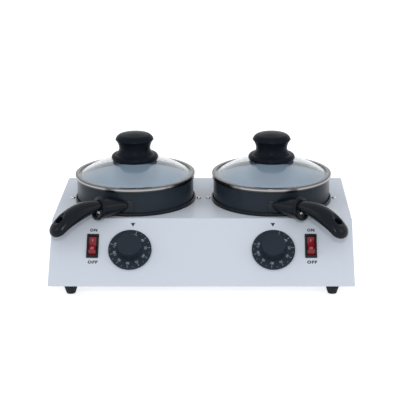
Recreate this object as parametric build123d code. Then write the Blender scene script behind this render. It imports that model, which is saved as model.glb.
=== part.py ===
from build123d import *
import math
import os

# Two-pot chocolate melter. Millimetres, +Z up, +X to the right of someone facing the dials,
# origin on the table under the middle of the whole outline.

# Casing
side_margin = 16.0
rear_margin = 15.4
slope_length = 89.0
slope_angle = 45.0
sheet = 1.2
fold_radius = 2.0
lip_width = 10.0
seam_margin = 4.0
base_inset = 3.0
base_corner_radius = 5.0

# Feet
stand_height = 14.0
foot_top_radius = 9.4
foot_bottom_radius = 5.3
foot_side_inset = 25.5
foot_end_inset = 16.5
foot_bore_radius = 3.6
foot_floor = 5.0

# Screws and nuts
m3_radius = 1.45
m3_hole_radius = 1.7
m3_head_radius = 2.8
m3_head_height = 2.0
m3_nut_flats = 5.5
m3_nut_height = 2.4
m4_radius = 1.95
m4_hole_radius = 2.2
m4_head_radius = 3.4
m4_head_height = 2.4
m4_nut_flats = 7.0
m4_nut_height = 3.2
tapped_clearance = 0.05
screw_tail = 2.0
base_screw_length = 7.0

# Vents
vent_width = 3.0
vent_length = 26.0
vent_pitch = 8.0
vent_count = 9
vent_height = 44.0
base_vent_length = 40.0
base_vent_count = 7

# Pots
pot_spacing = 170.0
pot_setback = 80.5
pan_radius = 72.3
pan_wall = 2.0
pan_floor = 2.5
pan_stand_out = 30.5
pan_sunk = 28.0
pan_corner_radius = 8.0
left_pot_turn = 3.4

# Wells and trim rings
pan_clearance = 0.8
well_wall = 0.8
well_flange_width = 3.6
well_corner_radius = 7.0
panel_hole_clearance = 0.2
lug_step = 5.1
lug_radius = 5.5
ring_overlap = 0.9
ring_height = 4.0
ring_edge_radius = 0.8

# Heaters
heater_radius = 46.0
heater_thickness = 3.0
clamp_radius = 48.0
clamp_thickness = 1.5
clamp_lip = 4.0
stud_radius = 2.4
stud_length = 12.0
stud_clearance = 0.4
heater_nut_flats = 8.0
heater_nut_height = 4.0
bulb_radius = 3.0
bulb_length = 52.0
bulb_setback = 58.0
clip_wall = 1.0
clip_length = 14.0
bulb_clearance = 0.05

# Lids
lid_radius = 74.3
lid_band_drop = 0.9
lid_band_wall = 1.2
lid_sheet = 0.6
lid_mouth_radius = 69.5
lid_locator_radius = 69.2
lid_locator_depth = 4.0
glass_radius = 71.8
glass_thickness = 3.0
glass_flat = 4.0
glass_rise = 19.6
glass_gap = 0.05
glass_hole_radius = 3.1

# Lid knobs
knob_height = 33.9
knob_flange_radius = 28.9
knob_flange_rise = 1.6
knob_shoulder_radius = 23.6
knob_shoulder_rise = 6.8
knob_neck_radius = 19.3
knob_neck_rise = 14.2
knob_cap_radius = 23.7
knob_cap_rise = 25.4
knob_crown_radius = 16.5
knob_crown_drop = 2.0
knob_hub_radius = 8.5
knob_rim_wall = 2.6
knob_hollow = 5.0
knob_gap = 0.4
knob_screw_radius = 2.4
knob_screw_head_radius = 4.6
knob_screw_head_height = 2.6
knob_screw_grip = 14.0
knob_bore_clearance = 0.1
washer_radius = 7.5
washer_thickness = 1.0

# Pan handles
handle_angle = 54.0
guard_x = 33.5
guard_y = -85.2
guard_rise = 13.5
guard_half_width = 15.0
guard_half_height = 14.4
guard_thickness = 4.0
guard_tilt = 18.0
guard_edge_radius = 1.3
guard_rim = 2.2
guard_hollow = 3.2
root_back = 34.0
root_rise = 13.2
root_half_width = 12.0
root_half_height = 8.4
root_end_half_width = 14.0
root_end_half_height = 12.8
root_gap = 3.0
arm_rise = 17.7
arm_start_slope = 1.7
arm_near_radius = 96.5
arm_near_length = 28.8
arm_far_radius = 73.0
arm_length = 70.2
neck_half_width = 9.6
neck_half_height = 6.0
arm_half_width = 13.6
arm_half_height = 9.0
arm_tip_half_height = 7.8
arm_tip_length = 13.0
arm_sections = 5
hang_hole_at = 51.0
hang_hole_radius = 5.0
hang_dish_length = 20.0
hang_dish_width = 14.0
hang_dish_depth = 2.5

# Handle brackets
bracket_sheet = 1.2
bracket_gap = 0.05
bracket_bottom = 5.6
bracket_top = 19.0
bracket_half_span = 13.0
tongue_half_width = 6.0
tongue_top = 15.0
tongue_end = 8.0
tongue_wall = 1.5
tongue_clearance = 0.2
handle_screw_rise = 8.2
handle_screw_seat = 1.0
handle_screw_grip = 8.0

# Dials and thermostats
dial_spacing = 170.0
dial_drop = 42.4
skirt_radius = 25.7
skirt_gap = 0.6
skirt_rim_height = 2.7
skirt_top = 3.7
skirt_wall = 1.2
grip_radius = 14.4
grip_top_radius = 13.9
dial_height = 17.6
grip_edge_radius = 1.4
dial_boss_radius = 5.6
shaft_radius = 3.0
shaft_flat = 2.0
shaft_reach = 13.0
shaft_fit = 0.08
shaft_hole_radius = 4.2
thermostat_plate_width = 42.0
thermostat_plate_height = 30.0
thermostat_plate_thickness = 1.6
thermostat_width = 34.0
thermostat_height = 30.0
thermostat_depth = 22.0
thermostat_edge_radius = 2.0
thermostat_cup_radius = 12.0
thermostat_cup_depth = 4.0
thermostat_bore_depth = 12.0
thermostat_screw_spacing = 28.0
blade_width = 6.3
blade_thickness = 0.8
blade_length = 8.0

# Rocker switches
switch_spacing = 259.0
switch_drop = 36.9
bezel_width = 14.2
bezel_length = 31.0
bezel_height = 2.0
bezel_edge_radius = 0.8
bezel_side = 2.0
bezel_end = 3.0
switch_wall = 1.1
switch_depth = 20.0
switch_cavity = 11.0
cutout_clearance = 0.2
rocker_clearance = 0.3
rocker_pivot_depth = 3.0
rocker_rise = 4.6
rocker_dish = 1.5
rocker_skirt = 2.2
rocker_swing = 24.0
trunnion_radius = 1.2
trunnion_reach = 0.8
trunnion_clearance = 0.1
terminal_width = 4.8
terminal_length = 9.0
terminal_pitch = 8.0
terminal_count = 3

# Terminal block and cord gland
block_length = 32.0
block_width = 18.0
block_height = 15.0
block_x = 118.0
block_y = 70.0
block_ways = 3
block_way_radius = 2.4
block_screw_inset = 4.0
gland_x = 135.0
gland_z = 34.0
gland_bore_radius = 3.7
gland_thread_radius = 7.8
gland_flats = 20.0
gland_collar = 5.0
gland_dome = 8.0
gland_dome_radius = 8.6
gland_mouth_radius = 5.6
gland_inside = 9.0
gland_nut_thickness = 4.0
gland_hole_clearance = 0.2

# Levels and places worked out from the sizes above
slope_run = slope_length * math.cos(math.radians(slope_angle))
slope_fall = slope_length * math.sin(math.radians(slope_angle))
gland_reach = gland_collar + gland_dome
well_radius = pan_radius + pan_clearance
well_outer_radius = well_radius + well_wall
panel_hole_radius = well_outer_radius + panel_hole_clearance
top_depth = pot_setback + panel_hole_radius + rear_margin
overall_depth = top_depth + slope_run + gland_reach
front_y = -overall_depth / 2
fold_y = front_y + slope_run
back_y = fold_y + top_depth
top_z = stand_height + slope_fall
under_top_z = top_z - sheet
pot_y = fold_y + pot_setback
lug_reach = well_outer_radius + lug_step
lug_end = pot_spacing / 2 + lug_reach
casing_width = 2 * (lug_end + side_margin)
end_depth = side_margin - seam_margin
ring_radius = panel_hole_radius + ring_overlap
pan_bottom_z = top_z - pan_sunk
pan_rim_z = top_z + pan_stand_out
well_under_z = pan_bottom_z - well_wall
heater_under_z = well_under_z - heater_thickness
clamp_under_z = heater_under_z - clamp_thickness
glass_edge_z = pan_rim_z + lid_sheet + glass_gap
glass_top_z = glass_edge_z + glass_thickness
glass_apex_z = glass_top_z + glass_rise
glass_flat_radius = glass_radius - glass_flat
glass_sphere = (glass_flat_radius**2 + glass_rise**2) / (2 * glass_rise)
glass_centre_z = glass_apex_z - glass_sphere
knob_foot_radius = knob_flange_radius - knob_rim_wall
knob_base_z = glass_centre_z + math.sqrt(glass_sphere**2 - knob_foot_radius**2) + knob_gap
sides = {"left": -1, "right": 1}


def revolved(points):
    """A solid of revolution about Z from a closed (radius, z) outline."""
    return revolve(make_face(Plane.XZ * Polyline(*points, close=True)), Axis.Z)


def ring(outer, inner, low, high):
    """A tube or washer about Z between two heights."""
    body = Pos(0, 0, low) * extrude(Circle(outer), high - low)
    return body - Pos(0, 0, low) * extrude(Circle(inner), high - low)


def pan_screw(radius, length, head_radius, head_height):
    """A screw with its shank down -Z from the origin and a domed head above it."""
    dome = extrude(Circle(head_radius), head_height)
    dome = fillet(dome.edges().group_by(Axis.Z)[-1], head_height * 0.6)
    return dome + Pos(0, 0, -length) * extrude(Circle(radius), length)


def hex_nut(flats, height, bore):
    """A hexagon nut whose lower face is on the origin plane."""
    return extrude(RegularPolygon(flats / 2, 6, major_radius=False), height) - extrude(Circle(bore), height)


def panel_place(x, drop):
    """A place on the outside of the sloping panel, its Z axis pointing out of the panel."""
    angle = math.radians(slope_angle)
    y = fold_y - drop * math.cos(angle)
    z = top_z - drop * math.sin(angle)
    return Location(Plane(origin=(x, y, z), x_dir=(1, 0, 0), z_dir=(0, -math.sin(angle), math.cos(angle))))


def pot_place(side):
    """The middle of one pot, at the level of the table."""
    return Pos(side * pot_spacing / 2, pot_y, 0)


def turned(side, solid):
    """A piece of the right pot, mirrored and turned for the left one."""
    if side > 0:
        return solid
    return Rot(0, 0, -left_pot_turn) * mirror(solid, Plane.YZ)


def casing_block(inset, floor_z):
    """The casing's outer form, drawn in by a sheet thickness when inset is given."""
    angle = math.radians(slope_angle)
    shift = inset * math.tan(angle / 2)
    low_shift = (floor_z - stand_height) / math.tan(angle) + inset / math.sin(angle)
    outline = [
        (front_y + low_shift, floor_z),
        (fold_y + shift, top_z - inset),
        (back_y - inset, top_z - inset),
        (back_y - inset, floor_z),
    ]
    face = make_face(Plane.YZ * Polyline(*outline, close=True))
    block = extrude(face, casing_width / 2 - inset, both=True)
    upper = block.edges().filter_by(lambda edge: edge.center().Z > floor_z + sheet)
    return fillet(upper, fold_radius - inset)


def lip_screw_places():
    """Where the base screws go through the casing's lip."""
    x = casing_width / 2 - sheet - lip_width / 2
    front = front_y + lip_width
    back = back_y - sheet - lip_width / 2
    middle = (front + back) / 2
    return [(side * x, y) for side in (-1, 1) for y in (front + lip_width, middle, back)]


def foot_places():
    """The middles of the four feet."""
    x = casing_width / 2 - foot_side_inset
    rows = {"front": front_y + foot_end_inset, "rear": back_y - foot_end_inset}
    return {f"{row}_{name}": (side * x, y) for row, y in rows.items() for name, side in sides.items()}


def vent_row(count, length, along):
    """A row of round-ended slots, side by side along X or Y."""
    slot = SlotOverall(length, vent_width)
    if along == "x":
        slot = Rot(0, 0, 90) * slot
        return [Pos((i - (count - 1) / 2) * vent_pitch, 0) * slot for i in range(count)]
    return [Pos(0, (i - (count - 1) / 2) * vent_pitch) * slot for i in range(count)]


def casing_sheets():
    """All sheets of the casing in one: top, control panel, back and sides with a lip below."""
    shell = casing_block(0, stand_height) - casing_block(sheet, stand_height + sheet)
    window_x = casing_width - 2 * (sheet + lip_width)
    window_front = front_y + sheet + lip_width
    window_back = back_y - sheet - lip_width
    middle = (window_front + window_back) / 2
    window = Box(window_x, window_back - window_front, 4 * sheet)
    shell -= Pos(0, middle, stand_height) * window
    for x, y in lip_screw_places():
        shell -= Pos(x, y, stand_height) * Cylinder(m3_radius + tapped_clearance, 4 * sheet)
    for side in sides.values():
        shell -= pot_place(side) * Pos(0, 0, top_z) * Cylinder(panel_hole_radius, 4 * sheet)
        for lug in (-lug_reach, lug_reach):
            shell -= pot_place(side) * Pos(lug, 0, top_z) * Cylinder(m3_hole_radius, 4 * sheet)
        dial = panel_place(side * dial_spacing / 2, dial_drop)
        shell -= dial * Cylinder(shaft_hole_radius, 4 * sheet)
        for x in (-thermostat_screw_spacing / 2, thermostat_screw_spacing / 2):
            shell -= dial * Pos(x, 0, 0) * Cylinder(m4_hole_radius, 4 * sheet)
        switch = panel_place(side * switch_spacing / 2, switch_drop)
        hole_width = bezel_width - 2 * bezel_side + 2 * switch_wall + 2 * cutout_clearance
        hole_length = bezel_length - 2 * bezel_end + 2 * switch_wall + 2 * cutout_clearance
        shell -= switch * Box(hole_width, hole_length, 4 * sheet)
    wall = Location(Plane(origin=(0, back_y, vent_height), x_dir=(-1, 0, 0), z_dir=(0, 1, 0)))
    for group in (-1, 1):
        for slot in vent_row(vent_count, vent_length, "x"):
            shell -= wall * Pos(group * pot_spacing / 4, 0, -2 * sheet) * extrude(slot, 4 * sheet)
    gland = Location(Plane(origin=(gland_x, back_y, gland_z), x_dir=(-1, 0, 0), z_dir=(0, 1, 0)))
    return shell - gland * Cylinder(gland_thread_radius + gland_hole_clearance, 4 * sheet)


def cover_shell():
    """Folded strip: control panel, top and back between the two ends."""
    return casing_sheets() & Box(casing_width - 2 * end_depth, 2 * overall_depth, 4 * top_z)


def end_panel(side):
    """Pressed end of the casing, with a rim that is butt welded to the folded strip."""
    place = Pos(side * (casing_width - end_depth) / 2, 0, 0)
    return casing_sheets() & place * Box(end_depth, 2 * overall_depth, 4 * top_z)


def base_plate():
    """Flat plate that closes the casing from below, with vents and screw holes."""
    front = front_y + base_inset
    back = back_y - base_inset
    plate = RectangleRounded(casing_width - 2 * base_inset, back - front, base_corner_radius)
    solid = Pos(0, (front + back) / 2, stand_height - sheet) * extrude(plate, sheet)
    for x, y in lip_screw_places():
        solid -= Pos(x, y, stand_height) * Cylinder(m3_hole_radius, 4 * sheet)
    for x, y in foot_places().values():
        solid -= Pos(x, y, stand_height) * Cylinder(m4_hole_radius, 4 * sheet)
    for x in (-1, 1):
        hole = Pos(block_x + x * (block_length / 2 - block_screw_inset), block_y, stand_height)
        solid -= hole * Cylinder(m3_hole_radius, 4 * sheet)
    for side in sides.values():
        for slot in vent_row(base_vent_count, base_vent_length, "y"):
            solid -= Pos(side * pot_spacing / 2, 0, stand_height - 2 * sheet) * extrude(slot, 4 * sheet)
    return solid


def base_screws():
    """Screws up through the base plate into the casing's lip."""
    screw = Rot(180, 0, 0) * pan_screw(m3_radius, base_screw_length, m3_head_radius, m3_head_height)
    return [Pos(x, y, stand_height - sheet) * screw for x, y in lip_screw_places()]


def foot(x, y):
    """Tapered rubber foot with a bore that hides its screw head."""
    height = stand_height - sheet
    cone = Cone(foot_bottom_radius, foot_top_radius, height, align=(Align.CENTER, Align.CENTER, Align.MIN))
    cone = fillet(cone.edges().group_by(Axis.Z)[0], (foot_bottom_radius - foot_bore_radius) / 3)
    cone -= extrude(Circle(foot_bore_radius), height - foot_floor)
    cone -= extrude(Circle(m4_hole_radius), height)
    return Pos(x, y, 0) * cone


def foot_screws():
    """Screws that hold the feet, heads up inside the feet."""
    length = foot_floor + sheet + m4_nut_height + screw_tail
    screw = Rot(180, 0, 0) * pan_screw(m4_radius, length, m4_head_radius, m4_head_height)
    return [Pos(x, y, stand_height - sheet - foot_floor) * screw for x, y in foot_places().values()]


def foot_nuts():
    """Nuts on the foot screws, inside the casing."""
    nut = hex_nut(m4_nut_flats, m4_nut_height, m4_radius + tapped_clearance)
    return [Pos(x, y, stand_height) * nut for x, y in foot_places().values()]


def well(side):
    """Pressed steel well with a flange and two lugs under the top, a stud and a bulb clip."""
    flange_radius = well_outer_radius + well_flange_width
    cup = extrude(Circle(well_outer_radius), under_top_z - well_under_z)
    cup = fillet(cup.edges().group_by(Axis.Z)[0], well_corner_radius)
    hollow = Pos(0, 0, well_wall) * extrude(Circle(well_radius), under_top_z - well_under_z)
    hollow = fillet(hollow.edges().group_by(Axis.Z)[0], well_corner_radius - well_wall)
    flange = Circle(flange_radius) + SlotCenterToCenter(2 * lug_reach, 2 * lug_radius)
    solid = Pos(0, 0, well_under_z) * cup
    solid += Pos(0, 0, under_top_z - well_wall) * extrude(flange, well_wall)
    solid -= Pos(0, 0, well_under_z) * hollow
    for lug in (-lug_reach, lug_reach):
        solid -= Pos(lug, 0, under_top_z) * Cylinder(m3_hole_radius, 4 * well_wall)
    solid += Pos(0, 0, well_under_z - stud_length) * extrude(Circle(stud_radius), stud_length)
    clip = Rot(0, 90, 0) * Cylinder(bulb_radius + bulb_clearance + clip_wall, clip_length)
    saddle = Pos(0, 0, clip_wall + bulb_radius / 2) * Box(clip_length, bulb_radius, bulb_radius)
    clip_place = Pos(0, bulb_setback, well_under_z - bulb_radius - clip_wall)
    clip = clip + Pos(0, 0, bulb_radius / 4) * saddle
    mouth = Box(2 * clip_length, 9 * bulb_radius, 2 * bulb_radius)
    clip -= Pos(0, 0, bulb_radius + clip_wall + bulb_radius) * mouth
    solid += clip_place * clip
    solid -= clip_place * Rot(0, 90, 0) * Cylinder(bulb_radius + bulb_clearance, 2 * clip_length)
    return pot_place(side) * solid


def trim_ring(side):
    """Black bead around the pan with a spigot down into the hole of the top."""
    bead = ring(ring_radius, well_radius, top_z, top_z + ring_height)
    bead = fillet(bead.edges().group_by(Axis.Z)[-1], ring_edge_radius)
    spigot = ring(panel_hole_radius - panel_hole_clearance / 2, well_radius, under_top_z, top_z)
    return pot_place(side) * (bead + spigot)


def well_screws():
    """Domed screws beside each pan that hang the well under the top."""
    length = sheet + well_wall + m3_nut_height + screw_tail
    screw = Pos(0, 0, top_z) * pan_screw(m3_radius, length, m3_head_radius, m3_head_height)
    lugs = (-lug_reach, lug_reach)
    return [pot_place(side) * Pos(lug, 0, 0) * screw for side in sides.values() for lug in lugs]


def well_nuts():
    """Nuts under the lugs of the wells."""
    nut = hex_nut(m3_nut_flats, m3_nut_height, m3_radius + tapped_clearance)
    low = under_top_z - well_wall - m3_nut_height
    lugs = (-lug_reach, lug_reach)
    return [pot_place(side) * Pos(lug, 0, low) * nut for side in sides.values() for lug in lugs]


def heater(side):
    """Flat heating element under the floor of the well."""
    return pot_place(side) * ring(heater_radius, stud_radius + stud_clearance, heater_under_z, well_under_z)


def heater_clamp(side):
    """Dished plate that presses the element against the well."""
    plate = ring(clamp_radius, stud_radius + stud_clearance, clamp_under_z, heater_under_z)
    lip = ring(clamp_radius, clamp_radius - clamp_thickness, clamp_under_z - clamp_lip, clamp_under_z)
    return pot_place(side) * (plate + lip)


def heater_nuts():
    """Nuts on the studs of the wells."""
    nut = hex_nut(heater_nut_flats, heater_nut_height, stud_radius + tapped_clearance)
    return [pot_place(side) * Pos(0, 0, clamp_under_z - heater_nut_height) * nut for side in sides.values()]


def sensor_bulb(side):
    """Temperature bulb of the thermostat, held in the clip under the well."""
    bulb = Rot(0, 90, 0) * Cylinder(bulb_radius, bulb_length)
    bulb = fillet(bulb.edges(), bulb_radius / 2)
    return pot_place(side) * Pos(0, bulb_setback, well_under_z - bulb_radius - clip_wall) * bulb


def pan(side):
    """Straight-sided pan with a rounded foot and a rounded rim."""
    height = pan_rim_z - pan_bottom_z
    body = extrude(Circle(pan_radius), height)
    body = fillet(body.edges().group_by(Axis.Z)[0], pan_corner_radius)
    hollow = Pos(0, 0, pan_floor) * extrude(Circle(pan_radius - pan_wall), height)
    hollow = fillet(hollow.edges().group_by(Axis.Z)[0], pan_corner_radius - pan_wall)
    body -= hollow
    body = fillet(body.edges().group_by(Axis.Z)[-1], pan_wall * 0.4)
    return pot_place(side) * Pos(0, 0, pan_bottom_z) * body


def handle_frame():
    """The handle's own frame: X along the arm in plan, origin under the guard at the top's level."""
    return Pos(guard_x, guard_y, top_z) * Rot(0, 0, handle_angle - 90)


def pot_cylinder(radius):
    """The pot's own cylinder, seen from the handle's frame."""
    turn = math.radians(handle_angle)
    along = guard_x * math.sin(turn) - guard_y * math.cos(turn)
    across = guard_x * math.cos(turn) + guard_y * math.sin(turn)
    return Pos(-along, -across, 0) * Cylinder(radius, 8 * pan_radius)


def arm_point(length):
    """Distance out, height and downward slope in degrees at a length along the arm."""
    start = math.radians(arm_start_slope)
    near = min(length, arm_near_length)
    bend = start + near / arm_near_radius
    out = arm_near_radius * (math.sin(bend) - math.sin(start))
    fall = arm_near_radius * (math.cos(start) - math.cos(bend))
    far = length - near
    end = bend + far / arm_far_radius
    out += arm_far_radius * (math.sin(end) - math.sin(bend))
    fall += arm_far_radius * (math.cos(bend) - math.cos(end))
    return out, arm_rise - fall, math.degrees(end)


def arm_plane(length):
    """A plane square to the arm, its X across the arm and its Y towards the arm's top."""
    out, rise, slope = arm_point(length)
    turn = math.radians(slope)
    return Plane(origin=(out, 0, rise), x_dir=(0, 1, 0), z_dir=(math.cos(turn), 0, -math.sin(turn)))


def handle_arm():
    """Drooping arm: oval sections that widen from the neck, and a rounded tip."""
    straight = arm_length - arm_tip_length
    sections = []
    for i in range(arm_sections):
        share = i / (arm_sections - 1)
        swell = math.sin(share * math.pi / 2)
        width = neck_half_width + (arm_half_width - neck_half_width) * swell
        crown = math.sin(share * math.pi)
        height = neck_half_height + (arm_tip_half_height - neck_half_height) * share
        height += (arm_half_height - neck_half_height) * crown
        sections.append(arm_plane(share * straight) * Ellipse(width, height))
    arm = loft(sections)
    tip = scale(Sphere(1), by=(arm_half_width, arm_tip_half_height, arm_tip_length))
    tip = split(tip, Plane.XY, keep=Keep.TOP)
    arm += Location(arm_plane(straight)) * tip
    place = Location(arm_plane(hang_hole_at))
    arm -= place * Rot(90, 0, 0) * Cylinder(hang_hole_radius, 4 * arm_half_height)
    dish = scale(Sphere(0.5), by=(hang_dish_width, 2 * hang_dish_depth, hang_dish_length))
    return arm - place * Pos(0, arm_half_height, 0) * dish


def handle(side):
    """Bakelite handle: root cut to the pan's curve, oval guard and drooping arm."""
    back = Plane(origin=(-root_back, 0, root_rise), x_dir=(0, 1, 0), z_dir=(1, 0, 0))
    front = Plane(origin=(0, 0, guard_rise), x_dir=(0, 1, 0), z_dir=(1, 0, 0))
    root_back_face = back * Ellipse(root_half_width, root_half_height)
    root_front_face = front * Ellipse(root_end_half_width, root_end_half_height)
    root = loft([root_back_face, root_front_face])
    root -= pot_cylinder(pan_radius + root_gap)
    flange = extrude(Ellipse(guard_half_width, guard_half_height), guard_thickness / 2, both=True)
    flange = fillet(flange.edges(), guard_edge_radius)
    hollow = extrude(Ellipse(guard_half_width - guard_rim, guard_half_height - guard_rim), guard_thickness)
    flange -= Pos(0, 0, guard_thickness / 2 - guard_hollow) * hollow
    tilt = math.radians(guard_tilt)
    guard = Plane(origin=(0, 0, guard_rise), x_dir=(0, 1, 0), z_dir=(math.cos(tilt), 0, math.sin(tilt)))
    solid = root + Location(guard) * flange + handle_arm()
    pocket_low = bracket_bottom - tongue_clearance
    pocket_high = tongue_top + tongue_clearance
    pocket_end = tongue_end - tongue_clearance
    pocket = Box(2 * root_back, 2 * (tongue_half_width + tongue_clearance), pocket_high - pocket_low)
    solid -= Pos(-pocket_end - root_back, 0, (pocket_low + pocket_high) / 2) * pocket
    axis = Pos(0, 0, handle_screw_rise) * Rot(0, 90, 0)
    solid -= axis * Cylinder(m3_hole_radius, 4 * tongue_end)
    driver = extrude(Circle(m3_head_radius + tongue_clearance), 2 * guard_thickness)
    solid -= axis * Pos(0, 0, -handle_screw_seat) * driver
    return pot_place(side) * turned(side, handle_frame() * solid)


def handle_bracket(side):
    """Steel saddle welded to the pan with a channel tongue that the handle slides over."""
    turn = math.radians(handle_angle)
    inner = pan_radius + bracket_gap
    band = ring(inner + bracket_sheet, inner, top_z + bracket_bottom, top_z + bracket_top)
    across = guard_x * math.cos(turn) + guard_y * math.sin(turn)
    along = math.sqrt(pan_radius**2 - across**2)
    low = (bracket_bottom + bracket_top) / 2
    span = 2 * bracket_half_span
    window = handle_frame() * Pos(0, 0, low) * Box(4 * root_back, span, bracket_top - bracket_bottom)
    forward = handle_frame() * Pos(-root_back / 2, 0, low) * Box(2 * root_back, span, 2 * bracket_top)
    saddle = band & window & forward
    depth = along
    box_low = bracket_bottom
    tongue = Box(depth, 2 * tongue_half_width, tongue_top - box_low)
    tongue = Pos(-tongue_end - depth / 2, 0, (box_low + tongue_top) / 2) * tongue
    core = Box(depth, 2 * (tongue_half_width - tongue_wall), tongue_top)
    core_x = -tongue_end - handle_screw_grip - depth / 2
    tongue -= Pos(core_x, 0, tongue_top / 2 + box_low + tongue_wall) * core
    tongue -= pot_cylinder(inner)
    drill = Cylinder(m3_radius + tapped_clearance, 8 * tongue_end)
    bore = Pos(0, 0, handle_screw_rise) * Rot(0, 90, 0) * drill
    solid = saddle + handle_frame() * (tongue - bore)
    return pot_place(side) * turned(side, solid)


def handle_screw(side):
    """Screw under the arm that draws the handle onto its bracket."""
    length = tongue_end - handle_screw_seat + handle_screw_grip - screw_tail
    screw = pan_screw(m3_radius, length, m3_head_radius, m3_head_height)
    place = handle_frame() * Pos(-handle_screw_seat, 0, handle_screw_rise) * Rot(0, 90, 0)
    return pot_place(side) * turned(side, place * screw)


def lid_rim(side):
    """Stainless channel round the glass that rests on the pan's rim."""
    shoulder = glass_top_z + glass_gap
    crown = shoulder + lid_sheet
    outline = [
        (lid_locator_radius - lid_sheet, pan_rim_z - lid_locator_depth),
        (lid_locator_radius, pan_rim_z - lid_locator_depth),
        (lid_locator_radius, pan_rim_z),
        (lid_radius - lid_band_wall, pan_rim_z),
        (lid_radius - lid_band_wall, pan_rim_z - lid_band_drop),
        (lid_radius, pan_rim_z - lid_band_drop),
        (lid_radius, crown - lid_sheet),
        (lid_radius - lid_band_wall, crown),
        (lid_mouth_radius, crown),
        (lid_mouth_radius, shoulder),
        (glass_radius + glass_gap, shoulder),
        (glass_radius + glass_gap, pan_rim_z + lid_sheet),
        (lid_locator_radius - lid_sheet, pan_rim_z + lid_sheet),
    ]
    solid = revolved(outline)
    edge = solid.edges().filter_by(GeomType.CIRCLE).filter_by(lambda e: e.center().Z > crown - sheet)
    outer = edge.filter_by(lambda e: e.radius > glass_radius + lid_sheet)
    return pot_place(side) * fillet(outer, lid_sheet / 2)


def dome(radius, z):
    """Height of a sphere about the glass's centre at a distance from the axis."""
    return glass_centre_z + math.sqrt(radius**2 - z**2)


def lid_glass(side):
    """Domed glass with a flat edge and a hole for the knob's screw."""
    inner = glass_sphere - glass_thickness
    inner_foot = math.sqrt(inner**2 - (glass_edge_z - glass_centre_z) ** 2)
    half = glass_flat_radius / 2
    hole = glass_hole_radius
    crown = (hole, dome(glass_sphere, hole))
    shoulder = (half, dome(glass_sphere, half))
    top = ThreePointArc(crown, shoulder, (glass_flat_radius, glass_top_z))
    rim_top = ((glass_flat_radius, glass_top_z), (glass_radius, glass_top_z))
    edge = Polyline(*rim_top, (glass_radius, glass_edge_z), (inner_foot, glass_edge_z))
    low = ThreePointArc((inner_foot, glass_edge_z), (half, dome(inner, half)), (hole, dome(inner, hole)))
    bore = Line((hole, dome(inner, hole)), (hole, dome(glass_sphere, hole)))
    face = make_face(Plane.XZ * (Curve() + [top, edge, low, bore]))
    return pot_place(side) * revolve(face, Axis.Z)


def lid_knob(side):
    """Turned knob: wide flange, waist, mushroom cap, hollow underneath round a hub."""
    top = knob_height
    flange = ThreePointArc(
        (knob_flange_radius - knob_flange_rise / 2, 0),
        (knob_flange_radius, knob_flange_rise),
        (knob_shoulder_radius, knob_shoulder_rise),
    )
    lower = (knob_shoulder_rise + knob_neck_rise) / 2
    waist = ThreePointArc(
        (knob_shoulder_radius, knob_shoulder_rise),
        (knob_neck_radius + (knob_shoulder_radius - knob_neck_radius) / 4, lower),
        (knob_neck_radius, knob_neck_rise),
    )
    upper = (knob_neck_rise + knob_cap_rise) / 2
    flare = ThreePointArc(
        (knob_neck_radius, knob_neck_rise),
        (knob_neck_radius + (knob_cap_radius - knob_neck_radius) / 4, upper),
        (knob_cap_radius, knob_cap_rise),
    )
    brow = (knob_cap_rise + top - knob_crown_drop) / 2
    cap = ThreePointArc(
        (knob_cap_radius, knob_cap_rise),
        (knob_crown_radius + (knob_cap_radius - knob_crown_radius) * 0.78, brow),
        (knob_crown_radius, top - knob_crown_drop),
    )
    sphere = (knob_crown_radius**2 + knob_crown_drop**2) / (2 * knob_crown_drop)
    fall = sphere - math.sqrt(sphere**2 - (knob_crown_radius / 2) ** 2)
    crown = ThreePointArc(
        (knob_crown_radius, top - knob_crown_drop),
        (knob_crown_radius / 2, top - fall),
        (0, top),
    )
    hub = glass_apex_z + washer_thickness - knob_base_z
    under = Polyline(
        (0, top),
        (0, hub),
        (knob_hub_radius, hub),
        (knob_hub_radius, hub + knob_hollow),
        (knob_neck_radius - knob_rim_wall, hub + knob_hollow),
        (knob_flange_radius - knob_rim_wall, 0),
        (knob_flange_radius - knob_flange_rise / 2, 0),
    )
    face = make_face(Plane.XZ * (Curve() + [flange, waist, flare, cap, crown, under]))
    solid = revolve(face, Axis.Z)
    bore_circle = Circle(knob_screw_radius + knob_bore_clearance)
    bore = Pos(0, 0, hub) * extrude(bore_circle, knob_screw_grip + screw_tail)
    return pot_place(side) * Pos(0, 0, knob_base_z) * (solid - bore)


def under_glass_z():
    """Underside of the washer below the glass."""
    return dome(glass_sphere - glass_thickness, washer_radius) - washer_thickness


def lid_washers(side):
    """Washers above and below the glass."""
    above = ring(washer_radius, glass_hole_radius, glass_apex_z, glass_apex_z + washer_thickness)
    below = ring(washer_radius, glass_hole_radius, under_glass_z(), under_glass_z() + washer_thickness)
    return [pot_place(side) * above, pot_place(side) * below]


def lid_screw(side):
    """Screw up through the glass into the knob."""
    low = under_glass_z()
    length = glass_apex_z + washer_thickness + knob_screw_grip - low
    screw = pan_screw(knob_screw_radius, length, knob_screw_head_radius, knob_screw_head_height)
    return pot_place(side) * Pos(0, 0, low) * Rot(180, 0, 0) * screw


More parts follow.
